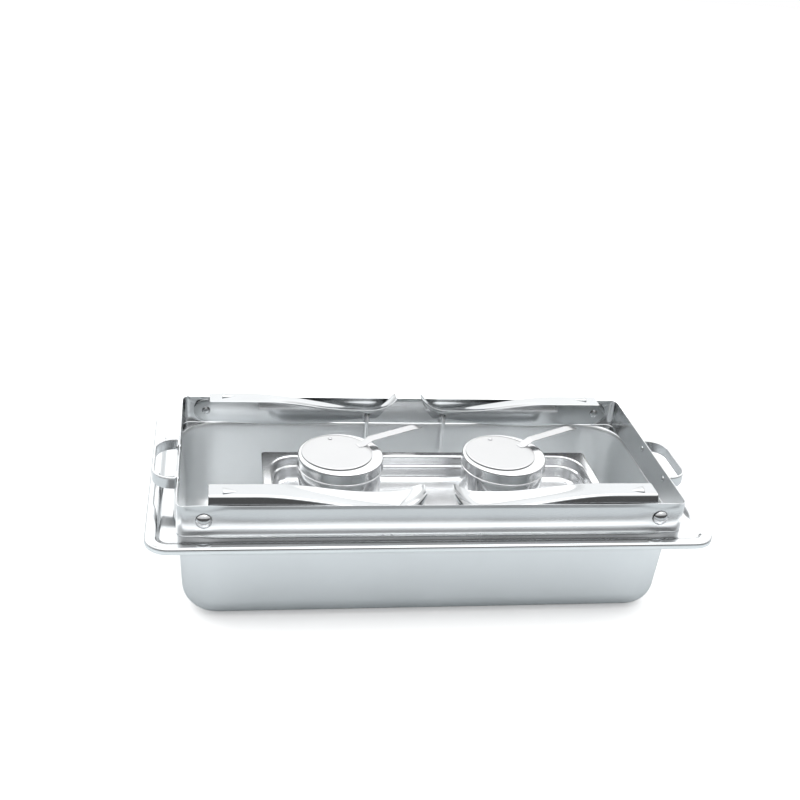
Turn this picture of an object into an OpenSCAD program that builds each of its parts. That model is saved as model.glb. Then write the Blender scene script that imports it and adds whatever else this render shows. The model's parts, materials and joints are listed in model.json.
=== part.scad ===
// Folding chafing dish food warmer, packed for storage.
// The frame lies upside down on the rim of the water pan, legs folded in, fuel tray inside.
// Millimetres, +Z up, front towards -Y, origin under the middle of the pan.

/* [Water pan] */
// Overall length of the rim
rim_l = 580; // [540:1:620]
// Overall width of the rim
rim_w = 296; // [270:1:330]
// Height of the ledge the frame stands on
ledge_z = 106.6; // [60:0.1:160]
// Width of the rounded outer lip
lip_w = 17; // [12:0.5:20]
// Height of the lip crest above the ledge
lip_rise = 3.2; // [1:0.1:6]
// Length of the pan body under the rim
body_l = 520; // [490:1:535]
// Width of the pan body under the rim
body_w = 242; // [220:1:255]
// Corner radius of the pan body under the rim
body_r = 42; // [35:1:60]
// Inward lean of each wall from rim to floor
body_draft = 4.6; // [0:0.2:10]
// Radius between wall and floor
floor_r = 26; // [10:1:32]
// Sheet thickness of the pan
pan_t = 1; // [0.6:0.1:1.5]

/* [Frame] */
// Length of the frame band
band_l = 520; // [490:1:540]
// Width of the frame band
band_w = 242; // [220:1:260]
// Height of the frame band
band_h = 33; // [25:0.5:45]
// Sheet thickness of the frame band
band_t = 1; // [0.8:0.1:2]
// Outer corner radius of the frame band
band_r = 7; // [5:0.5:20]
// Distance of the leg pivots from the band ends
pivot_inset = 27; // [20:0.5:40]
// Depth of the leg pivots below the upper band edge
pivot_drop = 16.5; // [12:0.5:22]
// Diameter of the domed rivet heads
dome_d = 16; // [10:0.5:20]

/* [Handles] */
// Height of the handle strap
strap_h = 13; // [8:0.5:20]
// Thickness of the handle strap
strap_t = 2; // [1:0.1:3]
// Overall width of the handle loop
loop_w = 84; // [60:1:120]
// Distance the handle loop stands out from the band
loop_out = 26; // [22:0.5:40]
// Spacing of the handle rivets
grip_rivets = 68; // [40:1:90]
// Offset of the handles towards the front
grip_shift = 17.5; // [0:0.5:30]

/* [Legs] */
// Length of a leg from pivot to tip
leg_l = 219; // [180:1:230]
// Sheet thickness of the legs
leg_t = 1.2; // [0.8:0.1:2]
// Width of the leg flange
flange_w = 28; // [18:0.5:32]
// Distance from pivot to the hole for the cross wire
wire_reach = 187; // [150:1:200]
// Diameter of the cross wire
wire_d = 4; // [2:0.1:5]

/* [Fuel tray] */
// Length of the tray over its flange
tray_l = 378; // [340:1:420]
// Width of the tray over its flange
tray_w = 125; // [118:1:150]
// Height of the tray from floor to flange
tray_h = 28; // [20:0.5:40]
// Width of the flat tray flange
tray_flange = 10; // [6:0.5:14]
// Sideways offset of the tray towards the right
tray_shift = 18; // [0:1:25]

/* [Fuel holders] */
// Outer diameter of a holder lid
lid_d = 92.6; // [85:0.1:96]
// Height of a holder from tray floor to lid
holder_h = 59.6; // [50:0.1:65]
// Height of the lid skirt
skirt_h = 14; // [8:0.5:20]
// Diameter of the damper disc
disc_d = 77; // [65:0.5:85]
// Spacing of the two holders
holder_gap = 181.5; // [150:0.5:200]
// Length of the damper handle strip
strip_l = 72; // [40:1:80]

/* [View] */
// Sub-part to draw, or all

/* [Hidden] */
$fn = 64;
gap = 0.4;                               // clearance under pieces that lift off
fit = 0.05;                              // running clearance round pins

lip_r = 24;                              // outer corner radius of the rim
lip_cx = rim_l / 2 - lip_r;
lip_cy = rim_w / 2 - lip_r;
body_cx = body_l / 2 - body_r;
body_cy = body_w / 2 - body_r;

band_z = ledge_z + gap;
band_top = band_z + band_h;
pivot_x = band_l / 2 - pivot_inset;
pivot_z = band_top - pivot_drop;
wall_y = band_w / 2 - band_t;            // inner face of the long band walls
grip_r = 22;                             // corner radius of the handle loop
grip_z = band_top - 10;                  // middle height of the handles
seat_t = 1.1;                            // depth of the pressed rivet seats
seat_d = 19;
web_y = wall_y - seat_t - 1.5;           // outer face of the leg webs
pin_d = 6;                               // leg pivot shank
tail_d = 9.5;                            // formed rivet tail
dome_h = 4.4;                            // height of the domed rivet heads

leg_rise = 24.5;                         // leg flange above the pivot
leg_fall = 10;                           // leg flange above the pivot height at the foot
leg_drop = 14;                           // leg web below the pivot
curl_x = 188;                            // where the foot starts to curl up
curl_h = 18.5;
wire_dz = -5.5;                          // cross wire hole below the pivot height
wire_x = pivot_x - wire_reach;
wire_z = pivot_z + wire_dz;
wire_bend = 6;
limb_y = web_y - leg_t - 6;              // y of the hanging limbs of a cross wire

tray_floor = 72;                         // height of the tray floor above the pan base
tray_t = 0.8;
tray_z = tray_floor - tray_t;
tray_top = tray_z + tray_h;
tray_r = 26;                             // inner corner radius of the tray opening
tray_step = 14;                          // height of the stacking shoulder
tray_shoulder = 3;                       // width of the stacking shoulder
cross_z = tray_z - 0.3 - wire_d / 2;     // centre height of the cross wire under the tray

cup_z = tray_floor + gap;
lid_top = tray_floor + holder_h;
lid_t = 0.6;
cup_t = 0.6;
cup_d = lid_d - 2 * lid_t - 1;
cup_top = lid_top - lid_t - 0.5;
burner_d = 48;                           // opening in the lid under the damper disc
disc_t = 0.8;
disc_z = lid_top + 0.35;
disc_off = [-4, 2.5];                    // middle of the closed disc from the holder axis
swivel = [-9, 32];                       // swivel point from the holder axis
swivel_d = 3;
strip_w = 9;
strip_dir = 25;                          // direction of the handle strip in plan
holder_x0 = 2.2;                         // middle between the two holders

function arc(cx, cy, r, a0, a1, n) =
  [for (i = [0 : n]) let (a = a0 + (a1 - a0) * i / n) [cx + r * cos(a), cy + r * sin(a)]];

function smooth(t) = t * t * (3 - 2 * t);

function mix(a, b, t) = a + (b - a) * t;

function ramp(x, x0, x1) = smooth(min(1, max(0, (x - x0) / (x1 - x0))));

// Rounded rectangle from squares and true circles.
module round_rect(l, w, r) {
  square([l - 2 * r, w], center = true);
  square([l, w - 2 * r], center = true);
  for (x = [-1, 1], y = [-1, 1])
    translate([x * (l / 2 - r), y * (w / 2 - r)])
      circle(r = r);
}

// Draw the children on both ends in x.
module both_ends() {
  children();
  mirror([1, 0, 0])
    children();
}

// Draw the children on both sides in y.
module both_sides() {
  children();
  mirror([0, 1, 0])
    children();
}

// Carry a wall profile (distance from the corner centre, height) round a rectangle.
module wall_ring(cx, cy) {
  both_ends()
    both_sides()
      translate([cx, cy, 0])
        rotate_extrude(angle = 90)
          children();
  both_ends()
    translate([cx, 0, 0])
      rotate([90, 0, 0])
        linear_extrude(height = 2 * cy, center = true)
          children();
  both_sides()
    translate([0, cy, 0])
      rotate([90, 0, 90])
        linear_extrude(height = 2 * cx, center = true)
          children();
}

// ---- Water pan ----

function pan_outline(inset) =
  let (
    r = floor_r - inset,
    foot = body_r - body_draft,
    rr = body_r - inset
  )
  concat(
    [[0, inset]],
    arc(foot - floor_r, floor_r, r, -90, -4, 10),
    [[rr, ledge_z - pan_t / 2]]
  );

module pan_wall_profile() {
  inner = pan_outline(pan_t);
  outer = pan_outline(0);
  polygon(concat(outer, [for (i = [len(inner) - 1 : -1 : 0]) inner[i]]));
}

module lip_profile() {
  crest = ledge_z + lip_rise;
  inner_r = lip_r - lip_w;
  roll = 5;
  outer = concat(
    [[inner_r - 0.8, ledge_z - pan_t], [inner_r - 0.8, ledge_z]],
    arc(inner_r + 1.6, crest - 1.6, 1.6, 180, 90, 4),
    arc(lip_r - roll, crest - roll - 0.4, roll, 80, -20, 8)
  );
  under = concat(
    arc(lip_r - roll, crest - roll - 0.4, roll - pan_t, -20, 80, 8),
    [[inner_r + 1.6, crest - pan_t], [inner_r + 0.4, crest - 2.4], [inner_r + 0.4, ledge_z - pan_t]]
  );
  polygon(concat(outer, under));
}

module water_pan() {
  color("silver") {
    wall_ring(body_cx, body_cy)
      pan_wall_profile();
    translate([-body_cx, -body_cy, 0])
      cube([2 * body_cx, 2 * body_cy, pan_t]);
    translate([0, 0, ledge_z - pan_t])
      linear_extrude(height = pan_t)
        difference() {
          round_rect(rim_l - 2 * lip_w, rim_w - 2 * lip_w, lip_r - lip_w);
          round_rect(body_l - 2 * pan_t - 1, body_w - 2 * pan_t - 1, body_r - pan_t - 0.5);
        }
    wall_ring(lip_cx, lip_cy)
      lip_profile();
  }
}

// ---- Frame ----

module frame_band() {
  color("gainsboro")
    difference() {
      union() {
        translate([0, 0, band_z])
          linear_extrude(height = band_h)
            difference() {
              round_rect(band_l, band_w, band_r);
              round_rect(band_l - 2 * band_t, band_w - 2 * band_t, band_r - band_t);
            }
        both_ends()
          both_sides()
            translate([pivot_x, wall_y + 0.3, pivot_z])
              rotate([90, 0, 0])
                cylinder(h = seat_t + 0.3, d = seat_d);
      }
      both_ends()
        both_sides()
          translate([pivot_x, wall_y + 5, pivot_z])
            rotate([90, 0, 0])
              cylinder(h = 10, d = pin_d);
      both_ends()
        for (y = [-1, 1])
          translate([band_l / 2 - 5, y * grip_rivets / 2 - grip_shift, grip_z])
            rotate([0, 90, 0])
              cylinder(h = 10, d = 4);
    }
}

// Strap loop in plan, moved in by o: out from the band, round a flat grip and back.
function loop_path(o) =
  let (
    cx = loop_out - grip_r,
    cy = loop_w / 2 - grip_r,
    r = grip_r - o
  )
  concat([[-o, cy + r]], arc(cx, cy, r, 90, 0, 12), arc(cx, -cy, r, 0, -90, 12), [[-o, -cy - r]]);

module handle_strap() {
  tab_l = (loop_w - grip_rivets) / 2 + 6;
  translate([band_l / 2 + 0.01, -grip_shift, grip_z - strap_h / 2])
    difference() {
      union() {
        linear_extrude(height = strap_h)
          difference() {
            polygon(loop_path(0));
            polygon(loop_path(strap_t));
          }
        both_sides()
          translate([0, loop_w / 2 - tab_l, 0])
            cube([strap_t, tab_l, strap_h]);
      }
      for (y = [-1, 1])
        translate([-1, y * grip_rivets / 2, strap_h / 2])
          rotate([0, 90, 0])
            cylinder(h = 6, d = 4);
    }
}

module handle_right() {
  color("gainsboro")
    handle_strap();
}

module handle_left() {
  color("gainsboro")
    mirror([1, 0, 0])
      handle_strap();
}

// Flat-headed rivet along +x, shank from x = 0.
module strap_rivet() {
  grip = band_t + strap_t;
  cylinder(h = grip, d = 4);
  translate([0, 0, grip])
    rotate_extrude()
      polygon([[0, 0], [3.6, 0], [3.4, 0.9], [2.2, 1.7], [0, 2]]);
  translate([0, 0, -1.2])
    rotate_extrude()
      polygon([[0, 0], [2.2, 0.2], [3.2, 0.8], [3.3, 1.2], [0, 1.2]]);
}

module handle_rivet_pair() {
  for (y = [-1, 1])
    translate([band_l / 2 - band_t, y * grip_rivets / 2 - grip_shift, grip_z])
      rotate([0, 90, 0])
        strap_rivet();
}

module handle_rivets_right() {
  color("lightgray")
    handle_rivet_pair();
}

module handle_rivets_left() {
  color("lightgray")
    mirror([1, 0, 0])
      handle_rivet_pair();
}

// Domed pivot rivet along -y, head outside the band, tail inside the leg.
module pivot_rivet() {
  tail_y = web_y - leg_t - 0.3;
  dome_r = (dome_d * dome_d / 4 + dome_h * dome_h) / (2 * dome_h);
  translate([0, band_w / 2, 0])
    rotate([-90, 0, 0])
      rotate_extrude()
        polygon(concat([[0, 0]], arc(0, dome_h - dome_r, dome_r, asin(1 - dome_h / dome_r), 90, 10)));
  translate([0, tail_y, 0])
    rotate([-90, 0, 0])
      cylinder(h = band_w / 2 - tail_y + 0.1, d = pin_d);
  translate([0, tail_y, 0])
    rotate([90, 0, 0])
      rotate_extrude()
        polygon([[0, 0], [tail_d / 2, 0], [tail_d / 2 - 0.3, 0.9], [tail_d / 2 - 1.8, 1.8], [0, 2.1]]);
}

module pivot_rivets() {
  color("white")
    both_ends()
      both_sides()
        translate([pivot_x, 0, pivot_z])
          pivot_rivet();
}

// ---- Legs ----

// Height of the leg flange above the pivot, at distance x along the leg.
function flange_line(x) =
  let (
    fall = mix(leg_rise, leg_fall, ramp(x, 50, 195)),
    curl = max(0, x - curl_x) / (leg_l - curl_x)
  )
  fall + curl_h * curl * curl;

// Lower edge of the leg web, at distance x along the leg.
function web_line(x) = mix(-leg_drop, -9.5, ramp(x, 120, 200)) - 4 * sin(180 * min(1, x / 180));

module leg_web() {
  top = [for (i = [0 : 24]) let (x = mix(4, 200, i / 24)) [x, flange_line(x) - 0.2]];
  low = [for (i = [12 : -1 : 0]) let (x = mix(0, 200, i / 12)) [x, web_line(x)]];
  rotate([90, 0, 0])
    linear_extrude(height = leg_t)
      difference() {
        union() {
          polygon(concat([[0, leg_drop], [4, leg_drop]], top, low));
          circle(r = leg_drop);
        }
        circle(d = pin_d + 2 * fit);
        translate([wire_reach, wire_dz])
          circle(d = wire_d + 2 * fit);
      }
}

module leg_flange() {
  n = 36;
  top = [for (i = [0 : n]) let (x = mix(4, leg_l, i / n)) [x, flange_line(x)]];
  low = [for (i = [n : -1 : 0]) let (x = mix(4, leg_l, i / n)) [x, flange_line(x) - leg_t]];
  intersection() {
    rotate([90, 0, 0])
      linear_extrude(height = flange_w)
        polygon(concat(top, low));
    translate([0, 0, -40])
      linear_extrude(height = 120)
        polygon(concat(
          [[3, 1], [3, -flange_w], [150, -flange_w]],
          arc(leg_l - 11, 1 - flange_w + 11, 11, -90, -20, 5),
          arc(leg_l - 9, -9, 9, 5, 90, 5),
          [[leg_l - 9, 1]]
        ));
  }
}

// Small teardrop tab pressed up out of the flange.
module leg_tab() {
  translate([19, -flange_w / 2 + 1, leg_rise - 0.3])
    linear_extrude(height = 1.1)
      polygon(concat(arc(4.5, 0, 4.5, 100, 260, 6), [[13, 0]]));
}

module leg() {
  leg_web();
  leg_flange();
  leg_tab();
}

// A leg in place: back left as drawn, the others mirrored.
module leg_at(x, y) {
  color("gainsboro")
    mirror([x > 0 ? 1 : 0, 0, 0])
      mirror([0, y > 0 ? 0 : 1, 0])
        translate([-pivot_x, web_y, pivot_z])
          leg();
}

module leg_front_left() {
  leg_at(-1, -1);
}

module leg_front_right() {
  leg_at(1, -1);
}

module leg_back_left() {
  leg_at(-1, 1);
}

module leg_back_right() {
  leg_at(1, 1);
}

// ---- Cross wires ----

// Half of a cross wire: pin through the leg, limb down beside it, span under the tray.
module wire_half() {
  pin_end = web_y + 0.8;
  translate([0, limb_y + wire_bend, wire_z])
    rotate([-90, 0, 0])
      cylinder(h = pin_end - limb_y - wire_bend, d = wire_d);
  translate([0, limb_y + wire_bend, wire_z - wire_bend])
    rotate([0, -90, 0])
      wire_corner(-90);
  translate([0, limb_y, cross_z + wire_bend])
    cylinder(h = wire_z - cross_z - 2 * wire_bend, d = wire_d);
  translate([0, limb_y - wire_bend, cross_z + wire_bend])
    rotate([0, -90, 0])
      wire_corner(90);
  translate([0, 0, cross_z])
    rotate([-90, 0, 0])
      cylinder(h = limb_y - wire_bend, d = wire_d);
}

// Quarter bend of the wire in the plane of the bend.
module wire_corner(turn) {
  rotate([0, 0, turn])
    rotate_extrude(angle = 90)
      translate([wire_bend, 0])
        circle(d = wire_d, $fn = 32);
}

module cross_wire(side) {
  color("silver")
    translate([side * wire_x, 0, 0])
      both_sides()
        wire_half();
}

module cross_wire_left() {
  cross_wire(-1);
}

module cross_wire_right() {
  cross_wire(1);
}

// ---- Fuel tray ----

module tray_wall_profile() {
  f = 6;
  foot = tray_r - tray_shoulder;
  outer = concat(
    [[0, 0]],
    arc(foot - f, f, f, -90, 0, 6),
    [[foot, tray_step], [tray_r, tray_step + 3], [tray_r, tray_h - tray_t / 2]]
  );
  inner = concat(
    [[tray_r - tray_t, tray_h - tray_t / 2], [tray_r - tray_t, tray_step + 3.4],
     [foot - tray_t, tray_step + 0.4]],
    arc(foot - f, f, f - tray_t, 0, -90, 6),
    [[0, tray_t]]
  );
  polygon(concat(outer, inner));
}

module fuel_tray() {
  mouth_l = tray_l - 2 * tray_flange;
  mouth_w = tray_w - 2 * tray_flange;
  cx = mouth_l / 2 - tray_r + tray_t;
  cy = mouth_w / 2 - tray_r + tray_t;
  color("silver")
    translate([tray_shift, 0, tray_z]) {
      wall_ring(cx, cy)
        tray_wall_profile();
      translate([-cx, -cy, 0])
        cube([2 * cx, 2 * cy, tray_t]);
      translate([0, 0, tray_h - tray_t])
        linear_extrude(height = tray_t)
          difference() {
            round_rect(tray_l, tray_w, 4);
            round_rect(mouth_l + 0.4, mouth_w + 0.4, tray_r - tray_t + 0.2);
          }
    }
}

// ---- Fuel holders ----

function holder_x(side) = holder_x0 + side * holder_gap / 2;

module cup(side) {
  r = cup_d / 2;
  h = cup_top - cup_z;
  color("silver")
    translate([holder_x(side), 0, cup_z])
      rotate_extrude()
        polygon(concat(
          [[0, 0]],
          arc(r - 3, 3, 3, -90, 0, 5),
          [[r, h - 0.4], [r - 0.3, h], [r - cup_t, h]],
          arc(r - 3, 3, 3 - cup_t, 0, -90, 5),
          [[0, cup_t]]
        ));
}

module cup_left() {
  cup(-1);
}

module cup_right() {
  cup(1);
}

// Lid with burner opening, rounded edge and a rolled bead round the end of the skirt.
module lid(side) {
  r = lid_d / 2;
  bead = 0.7;
  color("gainsboro")
    translate([holder_x(side), 0, lid_top])
      difference() {
        rotate_extrude()
          polygon(concat(
            [[burner_d / 2, -lid_t], [burner_d / 2, 0]],
            arc(r - 2, -2, 2, 90, 0, 5),
            [[r, -skirt_h + 2]],
            arc(r, -skirt_h + 1, bead, 80, -80, 4),
            [[r, -skirt_h], [r - lid_t, -skirt_h]],
            arc(r - 2, -2, 2 - lid_t, 0, 90, 5)
          ));
        translate([swivel[0], swivel[1], -2])
          cylinder(h = 4, d = swivel_d, $fn = 32);
      }
}

module lid_left() {
  lid(-1);
}

module lid_right() {
  lid(1);
}

// Damper disc with its handle strip bent up and out.
module damper(side) {
  bend = 12;
  lift = 6;
  color("white")
    translate([holder_x(side), 0, disc_z])
      difference() {
        union() {
          translate([disc_off[0], disc_off[1], 0])
            cylinder(h = disc_t, d = disc_d);
          translate([disc_off[0] + 4, disc_off[1] + 4, 0])
            rotate([0, 0, strip_dir])
              translate([20, strip_w / 2, 0])
                rotate([90, 0, 0])
                  linear_extrude(height = strip_w)
                    polygon([
                      [0, 0], [6, 0], [6 + bend, lift - 0.4], [strip_l + 6, lift + 1.8],
                      [strip_l + 8, lift + 1.2], [strip_l + 15, lift - 1.5],
                      [strip_l + 15, lift - 1.5 + disc_t], [strip_l + 8, lift + 1.2 + disc_t],
                      [strip_l + 5, lift + 1.8 + disc_t], [5 + bend, lift - 0.4 + disc_t],
                      [5, disc_t], [0, disc_t]
                    ]);
        }
        translate([swivel[0], swivel[1], -1])
          cylinder(h = 4, d = swivel_d + 2 * fit, $fn = 32);
      }
}

module damper_left() {
  damper(-1);
}

module damper_right() {
  damper(1);
}

// Small rivet the damper turns on, fixed in the lid.
module damper_rivet(side) {
  stem = disc_z - lid_top + disc_t + 0.3;
  color("lightgray")
    translate([holder_x(side) + swivel[0], swivel[1], lid_top]) {
      translate([0, 0, -lid_t - 0.9])
        cylinder(h = 0.9, d = 5, $fn = 32);
      translate([0, 0, -lid_t - 0.1])
        cylinder(h = stem + lid_t + 0.2, d = swivel_d, $fn = 32);
      translate([0, 0, stem])
        rotate_extrude($fn = 32)
          polygon([[0, 0], [2.4, 0], [2.1, 0.5], [1.2, 0.8], [0, 0.9]]);
    }
}

module damper_rivet_left() {
  damper_rivet(-1);
}

module damper_rivet_right() {
  damper_rivet(1);
}

water_pan();
frame_band();
handle_left();
handle_right();
handle_rivets_left();
handle_rivets_right();
pivot_rivets();
leg_front_left();
leg_front_right();
leg_back_left();
leg_back_right();
cross_wire_left();
cross_wire_right();
fuel_tray();
cup_left();
cup_right();
lid_left();
lid_right();
damper_left();
damper_right();
damper_rivet_left();
damper_rivet_right();
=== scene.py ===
"""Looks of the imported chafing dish: polished folding frame upside down on a satin water pan."""

import json
from math import cos, exp, hypot, pi, radians, sin, sqrt

import bpy
from mathutils import Matrix, Vector, noise


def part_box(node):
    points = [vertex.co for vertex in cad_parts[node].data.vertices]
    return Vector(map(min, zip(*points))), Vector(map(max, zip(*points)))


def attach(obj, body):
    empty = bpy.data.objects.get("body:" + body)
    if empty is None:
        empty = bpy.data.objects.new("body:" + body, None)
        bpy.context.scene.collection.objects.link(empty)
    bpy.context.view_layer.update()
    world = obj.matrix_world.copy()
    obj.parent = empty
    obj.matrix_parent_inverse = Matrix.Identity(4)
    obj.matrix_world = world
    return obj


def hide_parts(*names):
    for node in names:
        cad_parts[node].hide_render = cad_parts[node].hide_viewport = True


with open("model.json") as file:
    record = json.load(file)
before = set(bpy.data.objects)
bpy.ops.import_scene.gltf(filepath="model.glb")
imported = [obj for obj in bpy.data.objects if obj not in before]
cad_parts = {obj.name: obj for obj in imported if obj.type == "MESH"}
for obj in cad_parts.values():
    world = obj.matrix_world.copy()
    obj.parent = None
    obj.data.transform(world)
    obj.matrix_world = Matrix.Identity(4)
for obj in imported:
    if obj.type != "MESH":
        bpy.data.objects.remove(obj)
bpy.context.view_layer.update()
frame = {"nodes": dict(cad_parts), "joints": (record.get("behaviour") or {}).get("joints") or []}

MM = 0.001


# ---------------------------------------------------------------- places from the CAD

def corners(node):
    """Lowest and highest corner of a CAD node, in millimetres."""
    low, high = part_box(node)
    return low / MM, high / MM


pan_high = corners("water_pan")[1]
band_low, band_high = corners("frame_band")
tray_low, tray_high = corners("fuel_tray")
grip_low, grip_high = corners("handle_right")
joint = {j["name"]: j for j in frame["joints"]}
pivot = Vector(joint["fold_back_right"]["pos_m"]) / MM
wire_pin = Vector(joint["wire_swing_right"]["pos_m"]) / MM
leg_low, leg_high = corners("leg_back_right")
foot_tip = leg_low.x
leg_length = pivot.x - foot_tip
leg_web = leg_high.y
flange_width = leg_high.y - leg_low.y


# ---------------------------------------------------------------- mesh helpers

def mix(a, b, t):
    return a + (b - a) * t


def ramp(x, x0, x1):
    """0 before x0, 1 after x1, smooth between."""
    t = min(1, max(0, (x - x0) / (x1 - x0)))
    return t * t * (3 - 2 * t)


def arc(cx, cy, r, a0, a1, steps):
    """Points on an arc, angles in degrees."""
    angles = [radians(mix(a0, a1, k / steps)) for k in range(steps + 1)]
    return [(cx + r * cos(a), cy + r * sin(a)) for a in angles]


def finish_object(name, verts, faces, material, body, replaces=(), slot=None):
    """Make a smooth-shaded object from millimetre points and hang it on its CAD body."""
    mesh = bpy.data.meshes.new(name)
    mesh.from_pydata([tuple(c * MM for c in v) for v in verts], [], faces)
    mesh.validate()
    mesh.update()
    mesh.polygons.foreach_set("use_smooth", [True] * len(mesh.polygons))
    piece = bpy.data.objects.new(name, mesh)
    bpy.context.scene.collection.objects.link(piece)
    mesh.materials.append(material)
    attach(piece, body)
    if replaces:
        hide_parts(*replaces)
    return piece


def thicken(piece, thickness, even=True):
    """Turn a surface into sheet metal."""
    solid = piece.modifiers.new("sheet", "SOLIDIFY")
    solid.thickness = thickness * MM
    solid.offset = 0
    solid.use_even_offset = even
    return piece


def soften(piece, width, segments=2, angle=40):
    """Round the cut edges of the sheet."""
    bevel = piece.modifiers.new("edges", "BEVEL")
    bevel.width = width * MM
    bevel.segments = segments
    bevel.limit_method = "ANGLE"
    bevel.angle_limit = radians(angle)
    bevel.harden_normals = True
    return piece


def refine(piece, levels=1):
    """Smooth a surface by subdivision, keeping its outline."""
    subdivision = piece.modifiers.new("smooth", "SUBSURF")
    subdivision.levels = levels
    subdivision.render_levels = levels
    return piece


def bridge(rows, closed):
    """Quads between rows of equal length; closed rows join their ends."""
    n = len(rows[0])
    last = n if closed else n - 1
    verts = [p for row in rows for p in row]
    faces = []
    for i in range(len(rows) - 1):
        for k in range(last):
            m = (k + 1) % n
            faces.append((i * n + k, i * n + m, (i + 1) * n + m, (i + 1) * n + k))
    return verts, faces


def rect_loop(half_x, half_y, r, z, corner=10, side_x=40, side_y=20):
    """Rounded rectangle as a closed loop, anticlockwise, starting on the right."""
    loop = []
    centres = [
        (half_x - r, half_y - r, 0, side_x),
        (r - half_x, half_y - r, 90, side_y),
        (r - half_x, r - half_y, 180, side_x),
        (half_x - r, r - half_y, 270, side_y),
    ]
    for i, (cx, cy, a0, steps) in enumerate(centres):
        loop += [(x, y, z) for x, y in arc(cx, cy, r, a0, a0 + 90, corner)]
        nx, ny, na, _ = centres[(i + 1) % 4]
        start = Vector(loop[-1])
        end = Vector((nx + r * cos(radians(na)), ny + r * sin(radians(na)), z))
        loop += [tuple(start.lerp(end, k / steps)) for k in range(1, steps)]
    return loop


def drawn_sheet(name, loops, centre_z, thickness, x_mid=0, **kind):
    """Deep-drawn sheet: rounded loops from the rim down to the floor, closed with a floor."""
    rows = [rect_loop(*loop) for loop in loops]
    verts, faces = bridge(rows, closed=True)
    n = len(rows[0])
    hub = len(verts)
    verts.append((0, 0, centre_z))
    base = (len(rows) - 1) * n
    faces += [(base + k, base + (k + 1) % n, hub) for k in range(n)]
    verts = [(x + x_mid, y, z) for x, y, z in verts]
    piece = finish_object(name, verts, faces, **kind)
    refine(piece)
    return thicken(piece, thickness, even=False)


def lathe(profile, centre, steps=96):
    """Turn a (radius, height) profile round a vertical axis."""
    rows = []
    for r, z in profile:
        turn = [2 * pi * k / steps for k in range(steps)]
        rows.append([(centre[0] + r * cos(a), centre[1] + r * sin(a), centre[2] + z) for a in turn])
    return bridge(rows, closed=True)


def join(parts):
    """Several (verts, faces) pairs as one."""
    verts, faces = [], []
    for v, f in parts:
        faces += [tuple(i + len(verts) for i in face) for face in f]
        verts += v
    return verts, faces


# ---------------------------------------------------------------- materials

def steel(name, colour, roughness, grain=0.0, grain_scale=(1, 1, 1), smudge=0.05, wave=0.0, grain_bump=0.0):
    """Stainless sheet: fine grain along one axis, soft handling marks and slightly uneven sheet."""
    material = bpy.data.materials.new(name)
    material.use_nodes = True
    tree = material.node_tree
    shader = tree.nodes["Principled BSDF"]
    shader.inputs["Metallic"].default_value = 1.0
    links = tree.links

    place = tree.nodes.new("ShaderNodeTexCoord")
    stretch = tree.nodes.new("ShaderNodeMapping")
    stretch.inputs["Scale"].default_value = grain_scale
    links.new(place.outputs["Object"], stretch.inputs["Vector"])

    lines = tree.nodes.new("ShaderNodeTexNoise")
    lines.inputs["Scale"].default_value = 60
    lines.inputs["Detail"].default_value = 5
    lines.inputs["Roughness"].default_value = 0.65
    links.new(stretch.outputs["Vector"], lines.inputs["Vector"])

    marks = tree.nodes.new("ShaderNodeTexNoise")
    marks.inputs["Scale"].default_value = 14
    marks.inputs["Detail"].default_value = 4
    links.new(place.outputs["Object"], marks.inputs["Vector"])

    tint = tree.nodes.new("ShaderNodeValToRGB")
    tint.color_ramp.elements[0].position = 0.3
    tint.color_ramp.elements[1].position = 0.75
    tint.color_ramp.elements[0].color = [c * 0.95 for c in colour] + [1]
    tint.color_ramp.elements[1].color = list(colour) + [1]
    links.new(marks.outputs["Fac"], tint.inputs["Fac"])
    links.new(tint.outputs["Color"], shader.inputs["Base Color"])

    rough_marks = tree.nodes.new("ShaderNodeMapRange")
    rough_marks.inputs["To Min"].default_value = roughness - smudge
    rough_marks.inputs["To Max"].default_value = roughness + smudge
    links.new(marks.outputs["Fac"], rough_marks.inputs["Value"])
    rough = tree.nodes.new("ShaderNodeMath")
    rough.operation = "MULTIPLY_ADD"
    rough.inputs[1].default_value = grain
    links.new(lines.outputs["Fac"], rough.inputs[0])
    links.new(rough_marks.outputs["Result"], rough.inputs[2])
    links.new(rough.outputs["Value"], shader.inputs["Roughness"])

    sheet = tree.nodes.new("ShaderNodeTexNoise")
    sheet.inputs["Scale"].default_value = 9
    sheet.inputs["Detail"].default_value = 1
    links.new(place.outputs["Object"], sheet.inputs["Vector"])
    uneven = tree.nodes.new("ShaderNodeBump")
    uneven.inputs["Distance"].default_value = wave * MM
    links.new(sheet.outputs["Fac"], uneven.inputs["Height"])
    scratch = tree.nodes.new("ShaderNodeBump")
    scratch.inputs["Distance"].default_value = grain_bump * MM
    links.new(lines.outputs["Fac"], scratch.inputs["Height"])
    links.new(uneven.outputs["Normal"], scratch.inputs["Normal"])
    links.new(scratch.outputs["Normal"], shader.inputs["Normal"])
    return material


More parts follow.
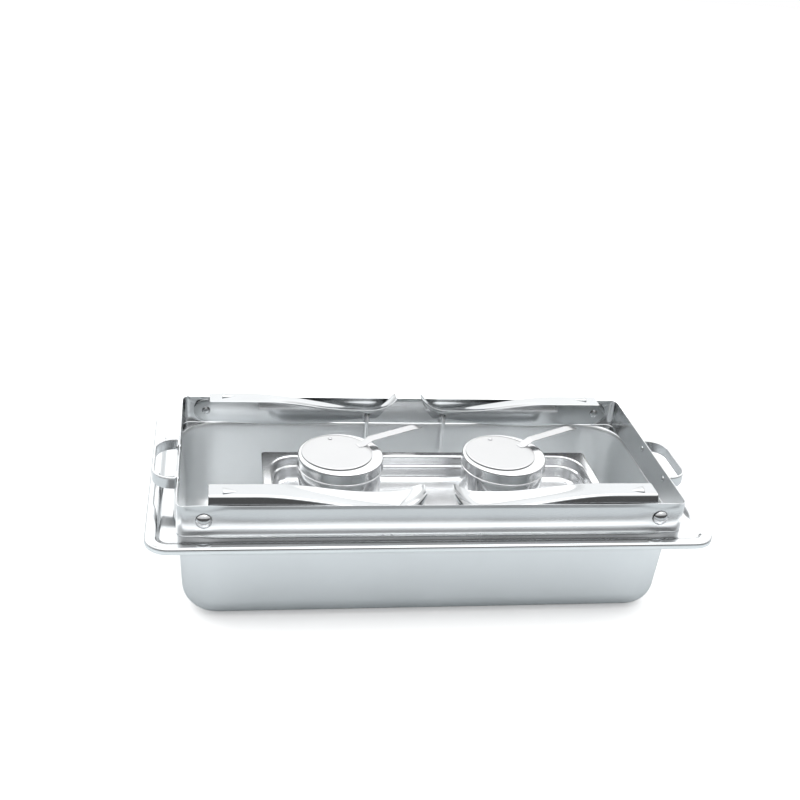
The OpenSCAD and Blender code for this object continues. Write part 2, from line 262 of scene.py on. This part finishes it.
ALONG_X = (0.25, 12, 12)
# Pan rim steel: a real polished finish, with its colour painted darker than the pan body as painted shade on
# the lip and ledge.
polished_rim_painted_shade = steel("rim_steel_painted_shade", (0.66, 0.675, 0.685), 0.10, grain=0.03, grain_scale=ALONG_X,
                  smudge=0.02, wave=0.15, grain_bump=0.002)
# Leg steel: the polished steel of the band and handles, painted darker so the leg webs show painted shade.
leg_painted_shade = steel("leg_steel_painted_shade", (0.52, 0.535, 0.545), 0.10, grain=0.03, grain_scale=ALONG_X,
                  smudge=0.03, wave=0.8, grain_bump=0.004)
satin = steel("satin_steel", (0.91, 0.93, 0.94), 0.32, grain=0.10, grain_scale=ALONG_X,
              smudge=0.05, wave=1.2, grain_bump=0.02)
polished = steel("polished_steel", (0.68, 0.695, 0.705), 0.22, grain=0.03, grain_scale=ALONG_X,
                 smudge=0.03, wave=0.3, grain_bump=0.002)
# Rivet steel: polished, with its colour painted darker as painted shade on the rivet domes.
bright = steel("rivet_steel", (0.56, 0.57, 0.58), 0.08, grain=0.05, smudge=0.04, wave=0.2, grain_bump=0.01)
drawn_wire = steel("wire_steel", (0.90, 0.91, 0.92), 0.28, grain=0.08, smudge=0.04, wave=0.2, grain_bump=0.01)
tray_sheet = steel("tray_steel", (0.84, 0.85, 0.86), 0.22, grain=0.06, grain_scale=ALONG_X,
                   smudge=0.04, wave=0.4, grain_bump=0.01)
spun = steel("holder_steel", (0.68, 0.69, 0.70), 0.14, grain=0.06, grain_scale=(2, 2, 30),
             smudge=0.04, wave=0.5, grain_bump=0.01)
disc_sheet = steel("disc_steel", (0.53, 0.535, 0.54), 0.28, grain=0.12, grain_scale=(4, 4, 4),
                   smudge=0.05, wave=0.4, grain_bump=0.01)


# ---------------------------------------------------------------- water pan

def water_pan():
    """Rounded lip, recessed ledge for the frame, drafted walls and a deep floor radius."""
    half_x, half_y = pan_high.x, pan_high.y
    lip_r = 24
    cx, cy = half_x - lip_r, half_y - lip_r
    crest = pan_high.z
    loops = []

    def ring(out, z):
        loops.append((cx + out, cy + out, out, z))

    ring(lip_r - 0.8, crest - 6.5)
    ring(lip_r - 0.5, crest - 5.6)
    for out, z in arc(lip_r - 2.9, crest - 2.9, 2.4, 0, 88, 6):
        ring(out, z)
    for out, drop in ((17, 0.4), (14.6, 0.5), (13, 1.0), (11.2, 2.3), (9.8, 3.2), (8.4, 3.6)):
        ring(out, crest - drop)
    ledge = crest - 3.7
    body_r, wall = 42, 0.5
    bx, by = band_high.x - body_r, band_high.y - body_r

    def body_ring(out, z):
        loops.append((bx + out, by + out, out, z))

    loops.append((cx + 4.5, cy + 4.5, 8, ledge))
    loops.append((mix(cx + 4.5, bx + body_r + 3.2, 0.5), mix(cy + 4.5, by + body_r + 3.2, 0.5), 24, ledge))
    body_ring(body_r + 3.2, ledge)
    body_ring(body_r + 1.8, ledge - 0.3)
    body_ring(body_r + 0.5, ledge - 1.1)
    body_ring(body_r - wall, ledge - 3)
    foot, floor_r = body_r - 4.6 - wall, 25.5
    for k in range(1, 6):
        t = k / 5
        body_ring(mix(body_r - wall, foot, t), mix(ledge - 3, floor_r + 1, t))
    for out, z in arc(foot - floor_r, floor_r + wall, floor_r, -8, -90, 8):
        body_ring(out, z)
    flat = foot - floor_r
    for step, rise in ((8, 0.02), (30, 0.3), (60, 0.5)):
        loops.append((bx + flat - step, by + flat - step, max(2, flat - step), wall + rise))
    pan = drawn_sheet("pan_shell", loops, wall + 0.6, 1.0, material=satin, body="pan",
                      replaces=["water_pan"], slot="satin_steel")
    # The lip and ledge take the rim steel: polished, and painted darker as painted shade.
    pan.data.materials.append(polished_rim_painted_shade)
    for face in pan.data.polygons:
        if face.center.z > (ledge - 0.4) * MM:
            face.material_index = 1
    return pan


# ---------------------------------------------------------------- frame band and handles

def frame_band():
    """Thin polished strip ring, pulled in round the leg rivets."""
    low, high = band_low, band_high
    rows = []
    heights = 22
    for i in range(heights + 1):
        z = mix(low.z, high.z, i / heights)
        loop = rect_loop(high.x - 0.5, high.y - 0.5, 9.5, z, 8, 124, 48)
        row = []
        for x, y, z0 in loop:
            d = hypot(abs(x) - pivot.x, z0 - pivot.z)
            dent = 0.7 * exp(-(d / 9) ** 2) + 0.9 * exp(-(d / 24) ** 2)
            long_wall = abs(y) > high.y - 1
            edge = 4.5 + 5 * exp(-((abs(x) - pivot.x) / 15) ** 2)
            dent += min(1.6, 0.28 * max(0, z0 - high.z + edge))
            wavy = 0.12 * noise.noise(Vector((x * 0.012, z0 * 0.03, 2 + (y > 0))))
            row.append((x, y - (dent if long_wall else 0) * (1 if y > 0 else -1) + wavy, z0))
        rows.append(row)
    verts, faces = bridge(rows, closed=True)
    piece = finish_object("band_strip", verts, faces, polished, "frame", ["frame_band"], "polished_steel")
    thicken(piece, 1.0)
    return soften(piece, 0.25)


def fillet_path(points, radii, steps=6):
    """Round the corners of an open path in plan."""
    path = [points[0]]
    for i in range(1, len(points) - 1):
        p, a, b = (Vector(points[k]) for k in (i, i - 1, i + 1))
        to_a, to_b = (a - p).normalized(), (b - p).normalized()
        half = to_a.angle(to_b) / 2
        reach = radii[i - 1] / abs(sin(half) / cos(half))
        start, end = p + to_a * reach, p + to_b * reach
        centre = p + (to_a + to_b).normalized() * (radii[i - 1] / sin(half))
        for k in range(steps + 1):
            v = (start - centre).lerp(end - centre, k / steps)
            path.append(tuple(centre + v.normalized() * radii[i - 1]))
    path.append(points[-1])
    return path


def handle(side, name):
    """Strap loop bent from one strip: tab, side, rounded grip and back, with rounded edges."""
    x0, x1 = grip_low.x + 1, grip_high.x - 1
    middle = (grip_low.y + grip_high.y) / 2
    hw = (grip_high.y - grip_low.y) / 2 - 1
    tab = hw - 13
    points = [(x0, tab), (x0, hw), (x1, hw), (x1, -hw), (x0, -hw), (x0, -tab)]
    path = fillet_path(points, [3, 20, 20, 3], 16)
    low, high = grip_low.z, grip_high.z
    zs = [low + 0.05, low + 0.5] + [mix(low + 0.5, high - 0.5, k / 6) for k in range(1, 7)] + [high - 0.05]
    rows = [[(side * x, middle + y, z) for x, y in path] for z in zs]
    verts, faces = bridge(rows, closed=False)
    piece = finish_object(name, verts, faces, polished, "frame",
                          ["handle_right" if side > 0 else "handle_left"], "polished_steel")
    thicken(piece, 1.9, even=False)
    return soften(piece, 0.8, 3)


# ---------------------------------------------------------------- legs

WEB_ROWS = 10
BEND_ROWS = 4
FLANGE_ROWS = 10
ROUND_END = 14  # radius of the leg's round end about the pivot
FLANGE_TOP = 24.5  # flange above the pivot where it is straight
CURL_START = 188  # distance along the leg where the foot starts to rise
TIP_ROUND = 11  # rounding of the foot in plan
WIRE_HOLE_START = 184.4  # near side of the opening for the cross wire, along the leg
HALF_SHEET = 0.6


def foot_curl(d):
    """0 along the leg, rising to 1 at the tip of the foot."""
    return (max(0, d - CURL_START) / (leg_length - CURL_START)) ** 2


def flange_height(d):
    """Height of the bend along the leg above the pivot, at distance d."""
    return mix(FLANGE_TOP, 8, ramp(d, 50, 195)) + 20 * foot_curl(d) - HALF_SHEET


def free_height(d):
    """Height of the free edge of the flange, which falls less than the bend."""
    return mix(FLANGE_TOP, 15.5, ramp(d, 70, 165)) + 13 * foot_curl(d) - HALF_SHEET


def web_depth(d):
    """Lower edge of the leg web, running up to the tip at the foot."""
    edge = mix(-ROUND_END, -9.5, ramp(d, 120, 200)) - 4 * sin(pi * max(0, min(1, d / 180)))
    return mix(edge, flange_height(d) - 3, max(0, min(1, (d - 199) / (leg_length - 201))))


def leg_section(d):
    """Cross-section points (inward, up) from the lower web edge round to the flange edge."""
    top = flange_height(d)
    low = web_depth(d)
    bend = mix(3, 7, ramp(d, 120, 190))
    bend = min(bend, max(0.8, (top - low) * 0.6))
    width = flange_width - 0.8
    outer = ramp(d, leg_length - 9, leg_length)
    near = 4 * (1 - sqrt(max(0, 1 - outer ** 2))) * (d > leg_length - 9)
    tip = max(0, (d - (leg_length - TIP_ROUND)) / TIP_ROUND)
    far = width - TIP_ROUND * (1 - sqrt(max(0, 1 - tip ** 2)))
    dish = 2 * ramp(d, 60, 150)
    lean = 2.6 * (1 - ramp(d, 120, 175))
    web = HALF_SHEET + near
    edge = web + lean + bend
    section = []
    split = min(ROUND_END, top - bend) if d < 30 else mix(low, top - bend, 0.82)
    for k in range(WEB_ROWS):
        section.append((web, mix(low, split, k / (WEB_ROWS - 1))))
    for k in range(1, BEND_ROWS + 1):
        a = radians(180 - 90 * k / BEND_ROWS)
        section.append((edge + bend * cos(a), top - bend + bend * sin(a)))
    for k in range(1, FLANGE_ROWS + 1):
        t = k / FLANGE_ROWS
        section.append((mix(edge, far, t), mix(top, free_height(d), t) - dish * sin(pi * t)))
    return section


def leg_stations():
    """Distances along the leg where its section is laid out, closer together at the foot."""
    fine = [4, 5.5, 8, 12, 16]
    fine += [mix(20, 180, k / 32) for k in range(33)]
    fine += [WIRE_HOLE_START, WIRE_HOLE_START + 5.2]
    tip = leg_length - TIP_ROUND
    fine += [mix(192, tip, k / 9) for k in range(10)]
    fine += [tip + 10.6 * sin(radians(90 * k / 7)) for k in range(1, 8)]
    return fine


def leg_tab():
    """Small louvre pressed up out of the flange: open towards the pivot, running to a point."""
    rows = []
    for i in range(10):
        t = i / 9
        d = mix(18, 32, t)
        half = 5.2 * (1 - t) ** 0.75 + 0.1
        height = 2.6 * (1 - t) ** 1.1 + 0.1
        base = mix(flange_height(d), free_height(d), 0.5) + 0.4
        turns = [pi * k / 8 for k in range(9)]
        rows.append([(d, flange_width * 0.45 - half * cos(a), base + height * sin(a)) for a in turns])
    return bridge(rows, closed=False)


def leg(side_x, side_y, name, node, body):
    """Folded leg: round end on its rivet, L section, then a scooped foot with a raised tip."""
    verts, faces = [], []
    stations = leg_stations()
    sections = [leg_section(d) for d in stations]
    n = len(sections[0])
    for d, section in zip(stations, sections):
        verts += [(d, y, z) for y, z in section]
    slot = stations.index(WIRE_HOLE_START)
    slot_rows = wire_rows(sections[slot])
    for i in range(len(stations) - 1):
        for k in range(n - 1):
            if i == slot and k in slot_rows:
                continue
            faces.append((i * n + k, (i + 1) * n + k, (i + 1) * n + k + 1, i * n + k + 1))
    # round end of the web, past the start of the flange
    first = len(verts)
    turns = 12
    for i in range(1, turns + 1):
        d = mix(stations[0], 0.2 - ROUND_END, sin(radians(90 * i / turns)))
        reach = sqrt(max(0, ROUND_END ** 2 - min(0, d) ** 2))
        low = -reach if d < 0 else web_depth(d)
        verts += [(d, HALF_SHEET, mix(low, reach, k / (WEB_ROWS - 1))) for k in range(WEB_ROWS)]
    for i in range(turns):
        a = first + (i - 1) * WEB_ROWS if i else 0
        b = first + i * WEB_ROWS
        for k in range(WEB_ROWS - 1):
            faces.append((a + k, a + k + 1, b + k + 1, b + k))
    piece_verts = [place_on_leg(v, side_x, side_y) for v in verts]
    # The leg sheet and its tab take the darker copy of the polished steel: painted shade.
    piece = finish_object(name, piece_verts, faces, leg_painted_shade, body, [node], "polished_steel")
    thicken(piece, 1.2, even=False)
    refine(piece)
    tab_verts, tab_faces = leg_tab()
    tab = finish_object(name + "_tab", [place_on_leg(v, side_x, side_y) for v in tab_verts],
                        tab_faces, leg_painted_shade, body, [], "polished_steel")
    thicken(tab, 0.6, even=False)
    return piece


def wire_rows(section):
    """Rows of web faces that the cross wire hole takes up."""
    hole = wire_pin.z - pivot.z
    spans = [(k, section[k][1], section[k + 1][1]) for k in range(WEB_ROWS - 1)]
    return [k for k, z0, z1 in spans if z1 > hole - 2.2 and z0 < hole + 2.2]


def place_on_leg(point, side_x, side_y):
    """A point given along, across and above a leg, as a place in the frame."""
    d, inward, up = point
    return (side_x * (pivot.x - d), side_y * (leg_web - inward), pivot.z + up)


# ---------------------------------------------------------------- fuel tray and holders

def fuel_tray():
    """Shallow tray with a stacking shoulder and a flat, square-cornered flange."""
    half_x, half_y = (tray_high.x - tray_low.x) / 2, tray_high.y
    top, low = tray_high.z, tray_low.z
    flange, r, t = 10, 26, 0.4
    cx, cy = half_x - flange - r, half_y - flange - r
    loops = [(half_x - 0.05, half_y - 0.05, 3.5, top - 2.2), (half_x - 0.1, half_y - 0.1, 3.5, top - t - 0.5),
             (half_x - 0.6, half_y - 0.6, 3.2, top - t), (half_x - 4, half_y - 4, 3, top - t)]

    def ring(out, z):
        loops.append((cx + out, cy + out, out, z))

    ring(r + 2, top - t)
    ring(r + 0.9, top - t - 0.15)
    ring(r + 0.1, top - t - 0.8)
    ring(r - 0.3, top - 2.5)
    for inset, height in ((0.6, 18), (1.0, 16.8), (2.6, 15.6), (3.2, 14.4), (3.4, 12)):
        ring(r - inset, low + height)
    foot, fillet = r - 3.6, 6
    for out, z in arc(foot - fillet, low + fillet + t, fillet, 0, -90, 6):
        ring(out, z)
    ring(foot - fillet - 6, low + t + 0.02)
    loops.append((cx - 20, cy - 5, 4, low + t + 0.1))
    loops = [(a, b, c, z, 10, 40, 16) for a, b, c, z in loops]
    return drawn_sheet("tray_shell", loops, low + t + 0.2, 0.8, x_mid=(tray_low.x + tray_high.x) / 2,
                       material=tray_sheet, body="tray", replaces=["fuel_tray"], slot="tray_steel")


def cup(side):
    """Spun cup for a fuel can: recessed bottom, rounded foot and a slightly narrower neck."""
    low, high = corners("cup_" + side)
    centre = ((low.x + high.x) / 2, (low.y + high.y) / 2, low.z)
    r, h, t = (high.x - low.x) / 2, high.z - low.z, 0.6
    outside = [(0.5, 1.4), (r - 12, 1.4), (r - 10.5, 1.2), (r - 9.5, 0.3)] + arc(r - 3, 3, 3, -90, 0, 6)
    outside += [(r, 8), (r, 20), (r, h - 16), (r - 0.3, h - 15), (r - 0.3, h - 0.3), (r - 0.5, h)]
    inside = [(r - t, h - 0.3), (r - t - 0.3, h - 14), (r - t, h - 17), (r - t, 8)]
    inside += arc(r - 3, 3, 3 - t, 0, -90, 6)
    inside += [(r - 9.5, 0.3 + t), (r - 10.5, 1.2 + t), (r - 12, 1.4 + t), (0.5, 1.4 + t)]
    verts, faces = lathe(outside + inside, centre)
    n = len(outside + inside)
    faces.append(tuple(range(95, -1, -1)))
    faces.append(tuple((n - 1) * 96 + k for k in range(96)))
    node = "cup_" + side
    return finish_object(f"cup_shell_{side}", verts, faces, spun, node, [node], "holder_steel")


def lid(side):
    """Rounded lid with burner opening, pressed ring and rolled bead; small dimples lock the skirt."""
    low, high = corners("lid_" + side)
    bead, t = 0.7, 0.6
    r = (high.x - low.x) / 2 - bead
    centre = ((low.x + high.x) / 2, (low.y + high.y) / 2, high.z)
    skirt = high.z - low.z
    opening = 24
    outside = [(opening, -0.5), (opening + 0.1, -0.1), (opening + 0.6, 0), (r - 7, 0), (r - 4, -0.02)]
    outside += arc(r - 2, -2, 2, 84, 0, 8) + [(r, -5), (r, 2.2 - skirt)]
    outside += arc(r, 1 - skirt, bead, 80, -80, 6)
    outside += [(r - 0.1, -skirt + 0.05)]
    inside = [(r - t, -skirt + 0.05), (r - t, 1.5 - skirt), (r - t, -5)] + arc(r - 2, -2, 2 - t, 0, 90, 6)
    inside += [(opening + 0.6, -t), (opening + 0.1, -t + 0.05), (opening, -0.5)]
    verts, faces = lathe(outside + inside, centre, 128)
    shaped = []
    for x, y, z in verts:
        radius = hypot(x - centre[0], y - centre[1])
        pressed = 0
        for angle in (-52, 68, 188):
            spot = Vector((cos(radians(angle)), sin(radians(angle)))) * r
            d = hypot(x - centre[0] - spot.x, y - centre[1] - spot.y)
            d = hypot(d, z - centre[2] + 8.5)
            pressed += 0.5 * exp(-(d / 1.8) ** 2)
        k = (radius - pressed) / radius
        shaped.append((centre[0] + (x - centre[0]) * k, centre[1] + (y - centre[1]) * k, z))
    node = "lid_" + side
    return finish_object(f"lid_shell_{side}", shaped, faces, spun, node, [node], "holder_steel")


def damper(side):
    """Swivelling disc with its handle strip lanced from the disc and bent up, small dimple, tucked tip."""
    lid_low, lid_high = corners("lid_" + side)
    low = corners("damper_" + side)[0]
    x0, y0 = (lid_low.x + lid_high.x) / 2, (lid_low.y + lid_high.y) / 2
    cx, cy, z0 = x0 - 4, y0 + 2.5, low.z
    r, t = 38.5, 0.8
    profile = [(0.3, 0), (r - 0.3, 0), (r, 0.25), (r, t - 0.25), (r - 0.3, t), (r - 3, t), (0.3, t)]
    verts, faces = lathe(profile, (cx, cy, z0), 128)
    faces.append(tuple(range(127, -1, -1)))
    faces.append(tuple((len(profile) - 1) * 128 + k for k in range(128)))
    disc = (verts, faces)

    direction = radians(25)
    ox, oy = cx + 4, cy + 4
    route = fillet_path([(22, 0.9), (27, 0.9), (39, 6.2), (93, 8.1), (98, 7.4), (107, 5.0)], [6, 8, 6, 3], 4)
    across = [-5, -4.6, -1.5, 0, 1.5, 4.6, 5]
    rows = []
    for a, h in route:
        narrow = min(1, (a - 18) / 5.5)
        tail = sqrt(max(0.02, 1 - max(0, (a - 103) / 4.05) ** 2))
        row = []
        for w in across:
            wide = w * narrow * tail
            knob = 0.7 * exp(-((a - 66) / 2.2) ** 2 - (w / 2.2) ** 2)
            row.append((ox + a * cos(direction) - wide * sin(direction),
                        oy + a * sin(direction) + wide * cos(direction), z0 + h + 0.4 + knob))
        rows.append(row)
    strip = solid_strip(rows, 0.8)
    verts, faces = join([disc, strip])
    return finish_object(f"damper_plate_{side}", verts, faces, disc_sheet, "damper_" + side,
                         ["damper_" + side], "disc_steel")


def solid_strip(rows, thickness):
    """Closed strip from rows of top points."""
    n = len(rows[0])
    m = len(rows)
    top = [p for row in rows for p in row]
    under = [(x, y, z - thickness) for x, y, z in top]
    verts = top + under
    faces = []
    for i in range(m - 1):
        for k in range(n - 1):
            a = i * n + k
            faces.append((a, a + n, a + n + 1, a + 1))
            b = a + m * n
            faces.append((b, b + 1, b + n + 1, b + n))
    rim = [(0, k) for k in range(n)] + [(i, n - 1) for i in range(1, m)]
    rim += [(m - 1, k) for k in range(n - 2, -1, -1)] + [(i, 0) for i in range(m - 2, 0, -1)]
    for (i, k), (j, q) in zip(rim, rim[1:] + rim[:1]):
        a, b = i * n + k, j * n + q
        faces.append((a, b, b + m * n, a + m * n))
    return verts, faces


# ---------------------------------------------------------------- build

water_pan()
frame_band()
handle(1, "handle_strap_right")
handle(-1, "handle_strap_left")
for side_x, across in ((-1, "left"), (1, "right")):
    for side_y, depth in ((-1, "front"), (1, "back")):
        body = "leg_" + depth[0] + across[0]
        leg(side_x, side_y, f"leg_sheet_{depth}_{across}", f"leg_{depth}_{across}", body)
fuel_tray()
for side in ("left", "right"):
    cup(side)
    lid(side)
    damper(side)

# Rivets take the darker rivet steel, whose colour carries painted shade.
for node, material in (("handle_rivets_left", bright), ("handle_rivets_right", bright),
                       ("pivot_rivets", bright), ("cross_wire_left", drawn_wire),
                       ("cross_wire_right", drawn_wire), ("damper_rivet_left", bright),
                       ("damper_rivet_right", bright)):
    mesh = frame["nodes"][node].data
    mesh.materials.clear()
    mesh.materials.append(material)


# ---------------------------------------------------------------- floor, light, camera

def studio_floor():
    size = 6
    mesh = bpy.data.meshes.new("floor")
    square = [(-size, -size, 0), (size, -size, 0), (size, size, 0), (-size, size, 0)]
    mesh.from_pydata(square, [], [(0, 1, 2, 3)])
    floor = bpy.data.objects.new("floor", mesh)
    bpy.context.scene.collection.objects.link(floor)
    material = bpy.data.materials.new("floor_paper")
    material.use_nodes = True
    tree = material.node_tree
    shader = tree.nodes["Principled BSDF"]
    shader.inputs["Roughness"].default_value = 0.8
    path = tree.nodes.new("ShaderNodeLightPath")
    paper = tree.nodes.new("ShaderNodeMix")
    paper.data_type = "RGBA"
    paper.inputs["A"].default_value = (0.51, 0.54, 0.555, 1)
    paper.inputs["B"].default_value = (0.96, 0.96, 0.96, 1)
    tree.links.new(path.outputs["Is Camera Ray"], paper.inputs["Factor"])
    tree.links.new(paper.outputs["Result"], shader.inputs["Base Color"])
    lift = tree.nodes.new("ShaderNodeMath")
    lift.operation = "MULTIPLY"
    lift.inputs[1].default_value = 0.3
    tree.links.new(path.outputs["Is Camera Ray"], lift.inputs[0])
    tree.links.new(lift.outputs["Value"], shader.inputs["Emission Strength"])
    shader.inputs["Emission Color"].default_value = (1, 1, 1, 1)
    mesh.materials.append(material)
    floor.location.z = -0.0005


def studio_world():
    """Sky for reflections: dark low in front, bright high at the back. The camera sees white."""
    world = bpy.data.worlds.new("studio")
    bpy.context.scene.world = world
    world.use_nodes = True
    tree = world.node_tree
    tree.nodes.clear()
    place = tree.nodes.new("ShaderNodeTexCoord")
    lean = tree.nodes.new("ShaderNodeMapping")
    lean.inputs["Rotation"].default_value = (radians(25), 0, 0)
    split = tree.nodes.new("ShaderNodeSeparateXYZ")
    belt = tree.nodes.new("ShaderNodeValToRGB")
    shade = tree.nodes.new("ShaderNodeBackground")
    white = tree.nodes.new("ShaderNodeBackground")
    path = tree.nodes.new("ShaderNodeLightPath")
    pick = tree.nodes.new("ShaderNodeMixShader")
    out = tree.nodes.new("ShaderNodeOutputWorld")
    ramp_stops = ((0.0, 0.08), (0.54, 0.08), (0.62, 0.62), (0.75, 0.66),
                  (0.80, 1.0), (0.95, 1.0), (0.985, 0.5), (1.0, 0.38))
    stops = belt.color_ramp.elements
    stops[0].position, stops[0].color = ramp_stops[0][0], (ramp_stops[0][1],) * 3 + (1,)
    stops[1].position, stops[1].color = ramp_stops[-1][0], (ramp_stops[-1][1],) * 3 + (1,)
    for position, grey in ramp_stops[1:-1]:
        stop = stops.new(position)
        stop.color = (grey, grey, grey, 1)
    scale = tree.nodes.new("ShaderNodeMapRange")
    scale.inputs["From Min"].default_value = -1
    links = tree.links
    links.new(place.outputs["Generated"], lean.inputs["Vector"])
    links.new(lean.outputs["Vector"], split.inputs["Vector"])
    links.new(split.outputs["Z"], scale.inputs["Value"])
    links.new(scale.outputs["Result"], belt.inputs["Fac"])
    links.new(belt.outputs["Color"], shade.inputs["Color"])
    shade.inputs["Strength"].default_value = 1.75
    white.inputs["Color"].default_value = (1, 1, 1, 1)
    white.inputs["Strength"].default_value = 1.0
    links.new(path.outputs["Is Camera Ray"], pick.inputs["Fac"])
    links.new(shade.outputs["Background"], pick.inputs[1])
    links.new(white.outputs["Background"], pick.inputs[2])
    links.new(pick.outputs["Shader"], out.inputs["Surface"])


def soft_light(name, place, size, power):
    """Large square lamp aimed at the object."""
    lamp = bpy.data.lights.new(name, "AREA")
    lamp.size = size
    lamp.energy = power
    light = bpy.data.objects.new(name, lamp)
    light.location = place
    light.rotation_euler = (-Vector(place)).to_track_quat("-Z", "Y").to_euler()
    bpy.context.scene.collection.objects.link(light)


def studio_camera():
    """Viewpoint in front, a little to the left of the middle and above the pan."""
    pitch, yaw, roll = radians(26.05), radians(-10.49), radians(-5.23)
    lens_px = 1129
    camera_data = bpy.data.cameras.new("camera")
    camera_data.lens = lens_px / 800 * camera_data.sensor_width
    camera = bpy.data.objects.new("camera", camera_data)
    turn = Matrix.Rotation(yaw, 4, "Z") @ Matrix.Rotation(pi / 2 - pitch, 4, "X")
    turn = turn @ Matrix.Rotation(-roll, 4, "Z")
    camera.matrix_world = Matrix.Translation((-0.2255, -1.060, 0.584 + band_high.z * MM)) @ turn
    bpy.context.scene.collection.objects.link(camera)
    bpy.context.scene.camera = camera


studio_floor()
studio_world()
soft_light("overhead", (0.2, 0.3, 2.2), 2.4, 30)
soft_light("back_left", (-1.8, 1.4, 1.6), 1.4, 7)
studio_camera()
bpy.context.scene.view_settings.view_transform = "Standard"
